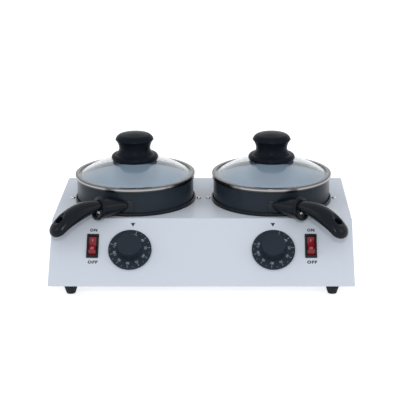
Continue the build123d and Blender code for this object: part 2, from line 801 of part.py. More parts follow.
def dial(side):
    """Thermostat dial: skirt for the scale, plain round grip, hollow back and D-bored boss."""
    outline = [
        (0, dial_height),
        (grip_top_radius, dial_height),
        (grip_radius, skirt_top),
        (skirt_radius - skirt_wall, skirt_top),
        (skirt_radius, skirt_rim_height),
        (skirt_radius, skirt_gap),
        (skirt_radius - skirt_wall, skirt_gap),
        (skirt_radius - skirt_wall, skirt_rim_height - skirt_wall),
        (grip_radius + skirt_wall, skirt_top - skirt_wall),
        (grip_radius - skirt_wall, skirt_top),
        (grip_top_radius - skirt_wall, dial_height - skirt_wall),
        (dial_boss_radius, dial_height - skirt_wall),
        (dial_boss_radius, skirt_gap),
        (0, skirt_gap),
    ]
    solid = revolved(outline)
    brim = solid.edges().filter_by(GeomType.CIRCLE).group_by(Axis.Z)[-1]
    solid = fillet(brim, grip_edge_radius)
    bore = Circle(shaft_radius + shaft_fit)
    flat = shaft_radius + shaft_fit - shaft_flat / 2
    bore -= Pos(0, flat + shaft_radius) * Rectangle(4 * shaft_radius, 2 * shaft_radius)
    solid -= Pos(0, 0, skirt_gap) * extrude(bore, shaft_reach + shaft_fit - skirt_gap)
    return panel_place(side * dial_spacing / 2, dial_drop) * solid


def thermostat_shaft(side):
    """Shaft with a flat, from inside the thermostat out to the dial."""
    low = -sheet - thermostat_plate_thickness - thermostat_bore_depth + shaft_flat
    shaft = Circle(shaft_radius)
    flat = Rectangle(4 * shaft_radius, 2 * shaft_radius)
    cut = Circle(shaft_radius) - Pos(0, 2 * shaft_radius - shaft_flat / 2) * flat
    solid = Pos(0, 0, low) * extrude(shaft, -low)
    solid += extrude(cut, shaft_reach)
    return panel_place(side * dial_spacing / 2, dial_drop) * solid


def thermostat(side):
    """Capillary thermostat: mounting plate, moulded body, bellows cup and two blades."""
    plate_low = -sheet - thermostat_plate_thickness
    outline = Rectangle(thermostat_plate_width, thermostat_plate_height)
    plate = Pos(0, 0, plate_low) * extrude(outline, thermostat_plate_thickness)
    for x in (-thermostat_screw_spacing / 2, thermostat_screw_spacing / 2):
        hole = Cylinder(m4_radius + tapped_clearance, 4 * thermostat_plate_thickness)
        plate -= Pos(x, 0, plate_low) * hole
    outline = RectangleRounded(thermostat_width, thermostat_height, thermostat_edge_radius)
    inside = thermostat_width - 2 * m4_head_radius - thermostat_screw_spacing + 2 * thermostat_edge_radius
    body = Pos(0, 0, plate_low - thermostat_depth) * extrude(outline, thermostat_depth)
    for x in (-thermostat_screw_spacing / 2, thermostat_screw_spacing / 2):
        body -= Pos(x, 0, plate_low) * Cylinder(m4_radius + inside / 4, 2 * thermostat_bore_depth)
    cup_low = plate_low - thermostat_depth - thermostat_cup_depth
    body += Pos(0, 0, cup_low) * extrude(Circle(thermostat_cup_radius), thermostat_cup_depth)
    blade = Box(blade_thickness, blade_width, blade_length)
    for x in (-1, 1):
        blade_z = cup_low + thermostat_cup_depth - blade_length / 2
        place = Pos(x * thermostat_width / 4, thermostat_height / 2 - blade_width, blade_z)
        body += place * blade
    solid = plate + body
    solid -= Pos(0, 0, plate_low) * Cylinder(shaft_radius + shaft_fit, 2 * thermostat_bore_depth)
    return panel_place(side * dial_spacing / 2, dial_drop) * solid


def thermostat_screws():
    """Screws from the front of the panel into the thermostats, hidden under the dials."""
    length = sheet + thermostat_plate_thickness + screw_tail
    screw = pan_screw(m4_radius, length, m4_head_radius, skirt_top - skirt_wall - skirt_gap)
    places = [-thermostat_screw_spacing / 2, thermostat_screw_spacing / 2]
    panels = [panel_place(side * dial_spacing / 2, dial_drop) for side in sides.values()]
    return [panel * Pos(x, 0, 0) * screw for panel in panels for x in places]


def switch_housing(side):
    """Bezel on the panel and the box behind it, open in front for the rocker."""
    opening_width = bezel_width - 2 * bezel_side
    opening_length = bezel_length - 2 * bezel_end
    bezel = extrude(RectangleRounded(bezel_width, bezel_length, bezel_edge_radius), bezel_height)
    bezel = fillet(bezel.edges().group_by(Axis.Z)[-1], bezel_edge_radius)
    outline = Rectangle(opening_width + 2 * switch_wall, opening_length + 2 * switch_wall)
    body = Pos(0, 0, -switch_depth) * extrude(outline, switch_depth)
    cavity = Pos(0, 0, -switch_cavity) * extrude(Rectangle(opening_width, opening_length), 2 * switch_cavity)
    pin = Cylinder(trunnion_radius + trunnion_clearance, opening_width + 2 * trunnion_reach)
    hinge = Pos(0, 0, -rocker_pivot_depth) * Rot(0, 90, 0) * pin
    return panel_place(side * switch_spacing / 2, switch_drop) * (bezel + body - cavity - hinge)


def rocker(side):
    """Dished rocker on two trunnions, lying with its upper end pressed."""
    reach = (bezel_length - 2 * bezel_end) / 2 - rocker_clearance
    width = bezel_width - 2 * bezel_side - 2 * rocker_clearance
    high = rocker_rise + rocker_pivot_depth
    top_reach = math.sqrt(reach**2 - high**2)
    low_reach = math.sqrt(reach**2 - rocker_skirt**2)
    crown = ThreePointArc((-top_reach, high), (0, high - rocker_dish), (top_reach, high))
    upper = ThreePointArc((top_reach, high), (reach, 0), (low_reach, -rocker_skirt))
    floor = Line((low_reach, -rocker_skirt), (-low_reach, -rocker_skirt))
    lower = ThreePointArc((-low_reach, -rocker_skirt), (-reach, 0), (-top_reach, high))
    body = extrude(make_face(Plane.YZ * (Curve() + [crown, upper, floor, lower])), width / 2, both=True)
    pin_length = width + 2 * (rocker_clearance + trunnion_reach) - trunnion_clearance
    body += Rot(0, 90, 0) * Cylinder(trunnion_radius, pin_length)
    pivot = Pos(0, 0, -rocker_pivot_depth) * Rot(-rocker_swing / 2, 0, 0)
    return panel_place(side * switch_spacing / 2, switch_drop) * pivot * body


def switch_terminals():
    """Blade terminals on the backs of the two switches."""
    flat = Box(terminal_width, blade_thickness, terminal_length)
    blade = Pos(0, 0, -switch_depth - terminal_length / 2) * flat
    offsets = [(i - (terminal_count - 1) / 2) * terminal_pitch for i in range(terminal_count)]
    panels = [panel_place(side * switch_spacing / 2, switch_drop) for side in sides.values()]
    return [panel * Pos(0, y, 0) * blade for panel in panels for y in offsets]


def terminal_block():
    """Connector block on the base plate where the supply joins the inner wires."""
    body = extrude(RectangleRounded(block_length, block_width, block_way_radius), block_height)
    for i in range(block_ways):
        x = (i - (block_ways - 1) / 2) * (block_length - 2 * block_screw_inset) / block_ways
        body -= Pos(x, 0, block_height / 2) * Rot(90, 0, 0) * Cylinder(block_way_radius, 2 * block_width)
        body -= Pos(x, 0, block_height / 2) * extrude(Circle(block_way_radius), block_height)
    for x in (-1, 1):
        hole = extrude(Circle(m3_radius + tapped_clearance), block_height / 2)
        body -= Pos(x * (block_length / 2 - block_screw_inset), 0, 0) * hole
    return Pos(block_x, block_y, stand_height) * body


def block_screws():
    """Screws up through the base plate into the terminal block."""
    length = sheet + base_screw_length - screw_tail
    screw = Rot(180, 0, 0) * pan_screw(m3_radius, length, m3_head_radius, m3_head_height)
    places = [block_x + x * (block_length / 2 - block_screw_inset) for x in (-1, 1)]
    return [Pos(x, block_y, stand_height - sheet) * screw for x in places]


def gland_place():
    """The gland's place on the back wall, its Z axis pointing backwards."""
    return Location(Plane(origin=(gland_x, back_y, gland_z), x_dir=(-1, 0, 0), z_dir=(0, 1, 0)))


def cord_gland():
    """Cable gland through the back wall, with its bore open for a supply cord."""
    collar = extrude(RegularPolygon(gland_flats / 2, 6, major_radius=False), gland_collar)
    standing = (Align.CENTER, Align.CENTER, Align.MIN)
    cap = Pos(0, 0, gland_collar) * Cone(gland_dome_radius, gland_mouth_radius, gland_dome, align=standing)
    thread = Pos(0, 0, -gland_inside) * extrude(Circle(gland_thread_radius), gland_inside)
    bore = Cylinder(gland_bore_radius, 4 * gland_reach)
    return gland_place() * (collar + cap + thread - bore)


def gland_nut():
    """Nut that holds the gland from inside."""
    nut = hex_nut(gland_flats, gland_nut_thickness, gland_thread_radius + tapped_clearance)
    return gland_place() * Pos(0, 0, -sheet - gland_nut_thickness) * nut


def write(name, solids):
    """Write one node, a single solid or a group of like ones."""
    group = solids if isinstance(solids, list) else [solids]
    bodies = [body for item in group for body in item.solids()]
    shape = bodies[0] if len(bodies) == 1 else Compound(children=bodies)
    export_step(shape, f"parts/{name}.step")


def build():
    """Write every node of the melter."""
    os.makedirs("parts", exist_ok=True)
    singles = [cover_shell, base_plate, base_screws, foot_screws, foot_nuts, well_screws, well_nuts]
    singles += [heater_nuts, thermostat_screws, switch_terminals, terminal_block, block_screws]
    singles += [cord_gland, gland_nut]
    for piece in singles:
        write(piece.__name__, piece())
    for name, place in foot_places().items():
        write(f"foot_{name}", foot(*place))
    pairs = [well, trim_ring, heater, heater_clamp, sensor_bulb, pan, handle, handle_bracket, handle_screw]
    pairs += [lid_rim, lid_glass, lid_knob, lid_washers, lid_screw, dial, thermostat_shaft, thermostat]
    pairs += [switch_housing, rocker, end_panel]
    for piece in pairs:
        for name, side in sides.items():
            write(f"{piece.__name__}_{name}", piece(side))


build()
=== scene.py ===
import math

import bpy
from mathutils import Matrix, Vector


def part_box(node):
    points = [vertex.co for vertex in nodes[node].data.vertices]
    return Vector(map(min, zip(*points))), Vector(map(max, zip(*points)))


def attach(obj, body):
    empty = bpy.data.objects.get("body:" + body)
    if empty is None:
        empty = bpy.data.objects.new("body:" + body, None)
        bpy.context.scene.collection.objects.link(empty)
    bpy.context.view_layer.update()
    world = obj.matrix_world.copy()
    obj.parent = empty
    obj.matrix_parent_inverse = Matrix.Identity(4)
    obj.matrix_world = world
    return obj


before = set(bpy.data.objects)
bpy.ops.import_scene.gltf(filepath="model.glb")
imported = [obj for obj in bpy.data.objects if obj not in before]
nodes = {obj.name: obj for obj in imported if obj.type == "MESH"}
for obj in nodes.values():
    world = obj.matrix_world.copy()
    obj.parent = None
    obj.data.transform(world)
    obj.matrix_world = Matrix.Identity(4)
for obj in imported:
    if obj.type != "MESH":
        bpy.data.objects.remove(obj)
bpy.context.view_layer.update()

# Studio
# A white sweep under and behind the melter, a large front lamp over the photographer's
# shoulder and two weaker side lamps. The camera stands in front, a little above the lids.
camera_pitch = math.radians(17.68)
photo = bpy.data.cameras.new("photo_camera")
photo.lens = 119.94
photo.sensor_width = 36.0
photo.shift_x = -0.0845
photo.clip_end = 20.0
camera = bpy.data.objects.new("photo_camera", photo)
camera.location = (0.03805, -1.57683, 0.58343)
camera.rotation_euler = (math.radians(90.0) - camera_pitch, 0.0, 0.0)
bpy.context.scene.collection.objects.link(camera)
bpy.context.scene.camera = camera
bpy.context.scene.view_settings.view_transform = "Standard"


def lamp(name, place, target, size, power, tint):
    """A square soft lamp that faces a point."""
    data = bpy.data.lights.new(name, "AREA")
    data.size = size
    data.energy = power
    data.color = tint
    obj = bpy.data.objects.new(name, data)
    obj.location = place
    obj.rotation_euler = (Vector(target) - Vector(place)).to_track_quat("-Z", "Y").to_euler()
    bpy.context.scene.collection.objects.link(obj)
    return obj


lamp_target = (0.0, 0.0, 0.06)
warm_white = (1.0, 0.985, 0.97)
cool_white = (0.97, 0.985, 1.0)
lamp("front_lamp", (0.05, -1.9, 1.15), lamp_target, 0.30, 9.0, warm_white)
lamp("left_lamp", (-1.6, -0.7, 1.0), lamp_target, 0.9, 3.2, cool_white)
lamp("right_lamp", (1.6, -0.7, 1.0), lamp_target, 0.9, 3.2, cool_white)


def seen_rays(tree):
    """One for rays from the camera, mirrors and glass, nought for soft light."""
    path = tree.nodes.new("ShaderNodeLightPath")
    seen = path.outputs["Is Camera Ray"]
    for ray in ("Is Glossy Ray", "Is Transmission Ray"):
        either = tree.nodes.new("ShaderNodeMath")
        either.operation = "MAXIMUM"
        tree.links.new(seen, either.inputs[0])
        tree.links.new(path.outputs[ray], either.inputs[1])
        seen = either.outputs[0]
    return seen


sky = bpy.data.worlds.new("white_room")
sky.use_nodes = True
bpy.context.scene.world = sky
sky_nodes = sky.node_tree.nodes
sky_links = sky.node_tree.links
sky_nodes.clear()
sky_soft = sky_nodes.new("ShaderNodeBackground")
sky_soft.inputs["Color"].default_value = (0.90, 0.95, 1.0, 1.0)
sky_soft.inputs["Strength"].default_value = 0.72
sky_white = sky_nodes.new("ShaderNodeBackground")
sky_white.inputs["Color"].default_value = (1.0, 1.0, 1.0, 1.0)
sky_white.inputs["Strength"].default_value = 1.0
sky_mix = sky_nodes.new("ShaderNodeMixShader")
sky_out = sky_nodes.new("ShaderNodeOutputWorld")
sky_links.new(seen_rays(sky.node_tree), sky_mix.inputs["Fac"])
sky_links.new(sky_soft.outputs[0], sky_mix.inputs[1])
sky_links.new(sky_white.outputs[0], sky_mix.inputs[2])
sky_links.new(sky_mix.outputs[0], sky_out.inputs["Surface"])

floor_reach = 6.0
floor_height = -0.0004
floor_signs = ((-1, -1), (1, -1), (1, 1), (-1, 1))
floor_corners = [(floor_reach * x, floor_reach * y, floor_height) for x, y in floor_signs]
floor_mesh = bpy.data.meshes.new("floor")
floor_mesh.from_pydata(floor_corners, [], [(0, 1, 2, 3)])
floor = bpy.data.objects.new("floor", floor_mesh)
bpy.context.scene.collection.objects.link(floor)
paper = bpy.data.materials.new("white_paper")
paper.use_nodes = True
paper_nodes = paper.node_tree.nodes
paper_links = paper.node_tree.links
paper_nodes.clear()
paper_matt = paper_nodes.new("ShaderNodeBsdfDiffuse")
paper_matt.inputs["Color"].default_value = (0.80, 0.81, 0.83, 1.0)
paper_glow = paper_nodes.new("ShaderNodeEmission")
paper_glow.inputs["Strength"].default_value = 0.62
paper_add = paper_nodes.new("ShaderNodeAddShader")
paper_mix = paper_nodes.new("ShaderNodeMixShader")
paper_out = paper_nodes.new("ShaderNodeOutputMaterial")
paper_links.new(paper_matt.outputs[0], paper_add.inputs[0])
paper_links.new(paper_glow.outputs[0], paper_add.inputs[1])
paper_links.new(seen_rays(paper.node_tree), paper_mix.inputs["Fac"])
paper_links.new(paper_matt.outputs[0], paper_mix.inputs[1])
paper_links.new(paper_add.outputs[0], paper_mix.inputs[2])
paper_links.new(paper_mix.outputs[0], paper_out.inputs["Surface"])
floor_mesh.materials.append(paper)

# Casing
# A folded strip of 1.2 mm steel and two pressed ends, butt welded and ground flush, with a
# bluish white powder coat baked over all. The coat has a fine orange peel and thins at edges.


def new_group(name, inputs, outputs):
    """An empty shader node group with named sockets."""
    tree = bpy.data.node_groups.new(name, "ShaderNodeTree")
    for label, kind, value in inputs:
        socket = tree.interface.new_socket(name=label, in_out="INPUT", socket_type=kind)
        socket.default_value = value
    for label, kind in outputs:
        tree.interface.new_socket(name=label, in_out="OUTPUT", socket_type=kind)
    return tree, tree.nodes.new("NodeGroupInput"), tree.nodes.new("NodeGroupOutput")


def math_node(tree, operation, first, second):
    """A math node fed by two sockets or numbers."""
    node = tree.nodes.new("ShaderNodeMath")
    node.operation = operation
    for slot, value in zip(node.inputs, (first, second)):
        if isinstance(value, (int, float)):
            slot.default_value = value
        else:
            tree.links.new(value, slot)
    return node.outputs[0]


mottle, mottle_in, mottle_out = new_group(
    "Mottle",
    [
        ("Light", "NodeSocketColor", (1, 1, 1, 1)),
        ("Dark", "NodeSocketColor", (0, 0, 0, 1)),
        ("Cloud Size", "NodeSocketFloat", 30.0),
        ("Grain Size", "NodeSocketFloat", 900.0),
    ],
    [("Color", "NodeSocketColor"), ("Cloud", "NodeSocketFloat"), ("Grain", "NodeSocketFloat")],
)
mottle_place = mottle.nodes.new("ShaderNodeTexCoord")
mottle_cloud = mottle.nodes.new("ShaderNodeTexNoise")
mottle_cloud.inputs["Detail"].default_value = 4.0
mottle_grain = mottle.nodes.new("ShaderNodeTexNoise")
mottle_grain.inputs["Detail"].default_value = 2.0
mottle_tone = mottle.nodes.new("ShaderNodeMix")
mottle_tone.data_type = "RGBA"
mottle.links.new(mottle_place.outputs["Object"], mottle_cloud.inputs["Vector"])
mottle.links.new(mottle_place.outputs["Object"], mottle_grain.inputs["Vector"])
mottle.links.new(mottle_in.outputs["Cloud Size"], mottle_cloud.inputs["Scale"])
mottle.links.new(mottle_in.outputs["Grain Size"], mottle_grain.inputs["Scale"])
mottle.links.new(mottle_cloud.outputs["Fac"], mottle_tone.inputs["Factor"])
mottle.links.new(mottle_in.outputs["Dark"], mottle_tone.inputs["A"])
mottle.links.new(mottle_in.outputs["Light"], mottle_tone.inputs["B"])
mottle.links.new(mottle_tone.outputs["Result"], mottle_out.inputs["Color"])
mottle.links.new(mottle_cloud.outputs["Fac"], mottle_out.inputs["Cloud"])
mottle.links.new(mottle_grain.outputs["Fac"], mottle_out.inputs["Grain"])

edge_wear, edge_in, edge_out = new_group(
    "Edge Wear",
    [("Reach", "NodeSocketFloat", 0.0006), ("Patch Size", "NodeSocketFloat", 60.0)],
    [("Edge", "NodeSocketFloat"), ("Soft Normal", "NodeSocketVector")],
)
edge_round = edge_wear.nodes.new("ShaderNodeBevel")
edge_round.samples = 4
edge_flat = edge_wear.nodes.new("ShaderNodeNewGeometry")
edge_dot = edge_wear.nodes.new("ShaderNodeVectorMath")
edge_dot.operation = "DOT_PRODUCT"
edge_range = edge_wear.nodes.new("ShaderNodeMapRange")
edge_range.inputs["From Min"].default_value = 0.99
edge_range.inputs["From Max"].default_value = 0.80
edge_place = edge_wear.nodes.new("ShaderNodeTexCoord")
edge_patch = edge_wear.nodes.new("ShaderNodeTexNoise")
edge_wear.links.new(edge_place.outputs["Object"], edge_patch.inputs["Vector"])
edge_wear.links.new(edge_in.outputs["Patch Size"], edge_patch.inputs["Scale"])
edge_wear.links.new(edge_in.outputs["Reach"], edge_round.inputs["Radius"])
edge_wear.links.new(edge_round.outputs[0], edge_dot.inputs[0])
edge_wear.links.new(edge_flat.outputs["Normal"], edge_dot.inputs[1])
edge_wear.links.new(edge_dot.outputs["Value"], edge_range.inputs["Value"])
edge_wear.links.new(
    math_node(edge_wear, "MULTIPLY", edge_range.outputs["Result"], edge_patch.outputs["Fac"]),
    edge_out.inputs["Edge"],
)
edge_wear.links.new(edge_round.outputs[0], edge_out.inputs["Soft Normal"])


def stretch(tree, source, low, high):
    """Stretches the middle of a mask to a range of values."""
    node = tree.nodes.new("ShaderNodeMapRange")
    node.inputs["From Min"].default_value = 0.3
    node.inputs["From Max"].default_value = 0.7
    node.inputs["To Min"].default_value = low
    node.inputs["To Max"].default_value = high
    tree.links.new(source, node.inputs["Value"])
    return node.outputs["Result"]


def finish(
    name, light, dark, rough, cloud, grain, depth=0.00002, metallic=0.0, edge=None, worn=None, shine=0.5
):
    """A finish with cloudy colour, a range of roughness, a grained relief and softened edges."""
    material = bpy.data.materials.new(name)
    material.use_nodes = True
    tree = material.node_tree
    surface = tree.nodes["Principled BSDF"]
    surface.inputs["Metallic"].default_value = metallic
    surface.inputs["Specular IOR Level"].default_value = shine
    tone = tree.nodes.new("ShaderNodeGroup")
    tone.node_tree = mottle
    tone.inputs["Light"].default_value = (*light, 1.0)
    tone.inputs["Dark"].default_value = (*dark, 1.0)
    tone.inputs["Cloud Size"].default_value = cloud
    tone.inputs["Grain Size"].default_value = grain
    relief = tree.nodes.new("ShaderNodeBump")
    relief.inputs["Strength"].default_value = 0.6
    relief.inputs["Distance"].default_value = depth
    tree.links.new(tone.outputs["Grain"], relief.inputs["Height"])
    color = tone.outputs["Color"]
    if edge:
        wear = tree.nodes.new("ShaderNodeGroup")
        wear.node_tree = edge_wear
        wear.inputs["Reach"].default_value = edge
        tree.links.new(wear.outputs["Soft Normal"], relief.inputs["Normal"])
        mix = tree.nodes.new("ShaderNodeMix")
        mix.data_type = "RGBA"
        tree.links.new(wear.outputs["Edge"], mix.inputs["Factor"])
        tree.links.new(color, mix.inputs["A"])
        mix.inputs["B"].default_value = (*(worn or light), 1.0)
        color = mix.outputs["Result"]
    tree.links.new(color, surface.inputs["Base Color"])
    tree.links.new(stretch(tree, tone.outputs["Cloud"], *rough), surface.inputs["Roughness"])
    tree.links.new(relief.outputs["Normal"], surface.inputs["Normal"])
    return material, surface, relief, tone


def dress(material, *names):
    """Gives CAD nodes their finish."""
    for name in names:
        slots = nodes[name].data.materials
        slots.clear()
        slots.append(material)


powder, powder_surface = finish(
    "white_powder_coat", (0.665, 0.70, 0.765), (0.63, 0.665, 0.73),
    rough=(0.36, 0.46), cloud=9.0, grain=800.0, depth=0.00005,
    edge=0.0004, worn=(0.72, 0.74, 0.79), shine=0.25,
)[:2]
powder_surface.inputs["Coat Weight"].default_value = 0.08
powder_surface.inputs["Coat Roughness"].default_value = 0.2
dress(powder, "cover_shell", "end_panel_left", "end_panel_right")

# Base plate, feet and screws
# A zinc plated closing plate on four tapered rubber feet, all held by nickel plated screws.
# Screws and nuts have turned, slightly scuffed heads; the rubber is matt with a pale bloom.
zinc = finish(
    "zinc_plate", (0.64, 0.66, 0.68), (0.46, 0.48, 0.52),
    rough=(0.30, 0.52), cloud=160.0, grain=1500.0, depth=0.00001, metallic=1.0,
    edge=0.0004, worn=(0.75, 0.76, 0.77),
)[0]
dress(zinc, "base_plate", "well_left", "well_right", "heater_clamp_left", "heater_clamp_right")
dress(zinc, "thermostat_shaft_left", "thermostat_shaft_right")
rubber = finish(
    "foot_rubber", (0.032, 0.034, 0.039), (0.018, 0.019, 0.021),
    rough=(0.60, 0.80), cloud=120.0, grain=2500.0, depth=0.00004,
    edge=0.0008, worn=(0.040, 0.042, 0.046), shine=0.15,
)[0]
dress(rubber, "foot_front_left", "foot_front_right", "foot_rear_left", "foot_rear_right")
nickel = finish(
    "nickel_screws", (0.74, 0.74, 0.75), (0.58, 0.58, 0.60),
    rough=(0.16, 0.30), cloud=400.0, grain=3000.0, depth=0.000006, metallic=1.0,
    edge=0.0004, worn=(0.84, 0.84, 0.85),
)[0]
dress(nickel, "base_screws", "foot_screws", "foot_nuts", "well_screws", "well_nuts", "heater_nuts")
dress(nickel, "thermostat_screws", "block_screws", "handle_screw_left", "handle_screw_right")
dress(nickel, "lid_washers_left", "lid_washers_right", "lid_screw_left", "lid_screw_right")


def piece(name, points, faces, material, body, place=Matrix.Identity(4)):
    """A new mesh piece in the melter's frame that rides on a CAD body."""
    mesh = bpy.data.meshes.new(name)
    mesh.from_pydata(points, [], faces)
    mesh.transform(place)
    mesh.materials.append(material)
    mesh.update()
    obj = bpy.data.objects.new(name, mesh)
    bpy.context.scene.collection.objects.link(obj)
    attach(obj, body)
    return obj


def plate(outline, low, high):
    """Points and faces of a flat plate from a closed outline."""
    count = len(outline)
    points = [(x, y, low) for x, y in outline] + [(x, y, high) for x, y in outline]
    faces = [tuple(range(count - 1, -1, -1)), tuple(range(count, 2 * count))]
    faces += [(i, (i + 1) % count, (i + 1) % count + count, i + count) for i in range(count)]
    return points, faces


# The recesses of the well screws' heads are not cut. Flat near-black crosses, laid a fifth of a
# millimetre into each head, are painted shade where the recesses' shade would fall.
recess_shade_finish = finish(
    "screw_recess_painted_shade", (0.020, 0.020, 0.022), (0.010, 0.010, 0.012),
    rough=(0.5, 0.7), cloud=400.0, grain=3000.0,
)[0]
cross_arm = 0.0015
cross_half = 0.00033
cross_depth = 0.0002
cross_rise = 0.00002
cross_corner = [(cross_half, cross_half), (cross_arm, cross_half), (cross_arm, -cross_half)]
cross = [
    (x * math.cos(turn) + y * math.sin(turn), y * math.cos(turn) - x * math.sin(turn))
    for turn in (0.0, math.pi / 2, math.pi, 3 * math.pi / 2)
    for x, y in cross_corner
]
pot_y = (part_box("pan_left")[0].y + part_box("pan_left")[1].y) / 2
pot_x = (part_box("pan_right")[0].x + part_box("pan_right")[1].x) / 2
screw_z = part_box("well_screws")[1].z
screw_reach = 0.079
screw_turns = ((-1, -1, 20), (-1, 1, 65), (1, -1, 10), (1, 1, 40))
for number, (side, away, turn) in enumerate(screw_turns):
    spot = Matrix.Translation((side * pot_x + away * screw_reach, pot_y, screw_z))
    spot = spot @ Matrix.Rotation(math.radians(turn), 4, "Z")
    points, faces = plate(cross, -cross_depth, cross_rise)
    piece(f"well_screw_shade_cross_{number}", points, faces, recess_shade_finish, "casing", spot)

# Heaters and bulbs
# Mica heating discs clamped under the wells, and drawn copper bulbs in their clips.
mica = finish(
    "mica_disc", (0.60, 0.54, 0.44), (0.42, 0.37, 0.30),
    rough=(0.5, 0.7), cloud=90.0, grain=1200.0, depth=0.00005,
)[0]
dress(mica, "heater_left", "heater_right")
copper = finish(
    "drawn_copper", (0.72, 0.42, 0.27), (0.50, 0.27, 0.17),
    rough=(0.25, 0.42), cloud=200.0, grain=2000.0, depth=0.00001, metallic=1.0,
)[0]
dress(copper, "sensor_bulb_left", "sensor_bulb_right")

# Thermostats, terminals and gland
# Moulded thermostat bodies, tinned brass blades, a cream terminal block and a black nylon
# gland whose ribbed cap nut grips the supply cord.
phenolic = finish(
    "thermostat_moulding", (0.13, 0.12, 0.11), (0.085, 0.08, 0.075),
    rough=(0.45, 0.6), cloud=90.0, grain=1500.0, depth=0.00003,
)[0]
dress(phenolic, "thermostat_left", "thermostat_right")
brass = finish(
    "tinned_brass", (0.78, 0.70, 0.50), (0.60, 0.52, 0.34),
    rough=(0.25, 0.4), cloud=300.0, grain=2500.0, depth=0.00001, metallic=1.0,
)[0]
dress(brass, "switch_terminals")
cream = finish(
    "cream_moulding", (0.76, 0.72, 0.62), (0.64, 0.60, 0.50),
    rough=(0.4, 0.55), cloud=90.0, grain=1500.0, depth=0.00002,
)[0]
dress(cream, "terminal_block")
nylon = finish(
    "black_nylon", (0.030, 0.031, 0.034), (0.019, 0.020, 0.022),
    rough=(0.34, 0.46), cloud=70.0, grain=1800.0, depth=0.00002,
    edge=0.0004, worn=(0.055, 0.056, 0.060),
)[0]
dress(nylon, "cord_gland", "gland_nut")
gland_low, gland_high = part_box("cord_gland")
gland_x = (gland_low.x + gland_high.x) / 2
gland_z = (gland_low.z + gland_high.z) / 2
rib_setback = 0.0078
gland_spot = Matrix.Translation((gland_x, gland_high.y - rib_setback, gland_z))
gland_spot = gland_spot @ Matrix.Rotation(math.radians(-90), 4, "X")
rib_count = 18
rib_half = 0.0004
rib_length = 0.0062
rib_height = 0.0007
rib_fade = 0.010
rib_radius = 0.0082
rib_lean = math.radians(20.2)
for number in range(rib_count):
    turn = 2 * math.pi * number / rib_count
    rib = [(-rib_half, 0.0), (rib_half, 0.0), (rib_half, rib_length), (-rib_half, rib_length)]
    points, faces = plate(rib, 0.0, rib_height)
    points = [(p[0], p[2] * (1.0 - p[1] / rib_fade), p[1]) for p in points]
    spot = gland_spot @ Matrix.Rotation(turn, 4, "Z") @ Matrix.Translation((0, rib_radius, 0))
    spot = spot @ Matrix.Rotation(rib_lean, 4, "X")
    piece(f"gland_rib_{number:02d}", points, faces, nylon, "casing", spot)

# Trim rings
# Moulded black rings pressed into the edges of the top's two holes, round the pans. Their
# faint ring marks, like those of pans, dials, knobs and rims, run about the piece's own axis.
turned, turned_in, turned_out = new_group(
    "Turned Marks",
    [
        ("Middle", "NodeSocketVector", (0.085, 0.0, 0.0)),
        ("Lean", "NodeSocketFloat", 0.0),
        ("Fineness", "NodeSocketFloat", 2500.0),
    ],
    [("Marks", "NodeSocketFloat"), ("Radius", "NodeSocketFloat"), ("Height", "NodeSocketFloat")],
)
turned_place = turned.nodes.new("ShaderNodeTexCoord")
turned_split = turned.nodes.new("ShaderNodeSeparateXYZ")
turned_join = turned.nodes.new("ShaderNodeCombineXYZ")
turned_shift = turned.nodes.new("ShaderNodeVectorMath")
turned_shift.operation = "SUBTRACT"
turned_lean = turned.nodes.new("ShaderNodeVectorRotate")
turned_lean.rotation_type = "X_AXIS"
turned_axes = turned.nodes.new("ShaderNodeSeparateXYZ")
turned.links.new(turned_place.outputs["Object"], turned_split.inputs[0])
turned_side = math_node(turned, "ABSOLUTE", turned_split.outputs["X"], 0.0)
turned.links.new(turned_side, turned_join.inputs["X"])
turned.links.new(turned_split.outputs["Y"], turned_join.inputs["Y"])
turned.links.new(turned_split.outputs["Z"], turned_join.inputs["Z"])
turned.links.new(turned_join.outputs[0], turned_shift.inputs[0])
turned.links.new(turned_in.outputs["Middle"], turned_shift.inputs[1])
turned.links.new(turned_shift.outputs[0], turned_lean.inputs["Vector"])
turned.links.new(turned_in.outputs["Lean"], turned_lean.inputs["Angle"])
turned.links.new(turned_lean.outputs[0], turned_axes.inputs[0])
turned_x2 = math_node(turned, "MULTIPLY", turned_axes.outputs["X"], turned_axes.outputs["X"])
turned_y2 = math_node(turned, "MULTIPLY", turned_axes.outputs["Y"], turned_axes.outputs["Y"])
turned_radius = math_node(turned, "SQRT", math_node(turned, "ADD", turned_x2, turned_y2), 0.0)
turned_turn = math_node(turned, "ARCTAN2", turned_axes.outputs["Y"], turned_axes.outputs["X"])
turned_rows = turned.nodes.new("ShaderNodeCombineXYZ")
turned.links.new(turned_radius, turned_rows.inputs["X"])
turned.links.new(turned_axes.outputs["Z"], turned_rows.inputs["Y"])
turned.links.new(math_node(turned, "MULTIPLY", turned_turn, 0.0006), turned_rows.inputs["Z"])
turned_noise = turned.nodes.new("ShaderNodeTexNoise")
turned_noise.inputs["Detail"].default_value = 3.0
turned.links.new(turned_rows.outputs[0], turned_noise.inputs["Vector"])
turned.links.new(turned_in.outputs["Fineness"], turned_noise.inputs["Scale"])
turned.links.new(turned_noise.outputs["Fac"], turned_out.inputs["Marks"])
turned.links.new(turned_radius, turned_out.inputs["Radius"])
turned.links.new(turned_axes.outputs["Z"], turned_out.inputs["Height"])


def turn_marks(material, relief, depth, middle, lean=0.0, fineness=2500.0):
    """Lays ring marks under a finish's grain and returns the marks' node."""
    tree = material.node_tree
    marks = tree.nodes.new("ShaderNodeGroup")
    marks.node_tree = turned
    marks.inputs["Middle"].default_value = middle
    marks.inputs["Lean"].default_value = lean
    marks.inputs["Fineness"].default_value = fineness
    under = tree.nodes.new("ShaderNodeBump")
    under.inputs["Strength"].default_value = 0.7
    under.inputs["Distance"].default_value = depth
    if relief.inputs["Normal"].links:
        tree.links.new(relief.inputs["Normal"].links[0].from_socket, under.inputs["Normal"])
    tree.links.new(marks.outputs["Marks"], under.inputs["Height"])
    tree.links.new(under.outputs["Normal"], relief.inputs["Normal"])
    return marks


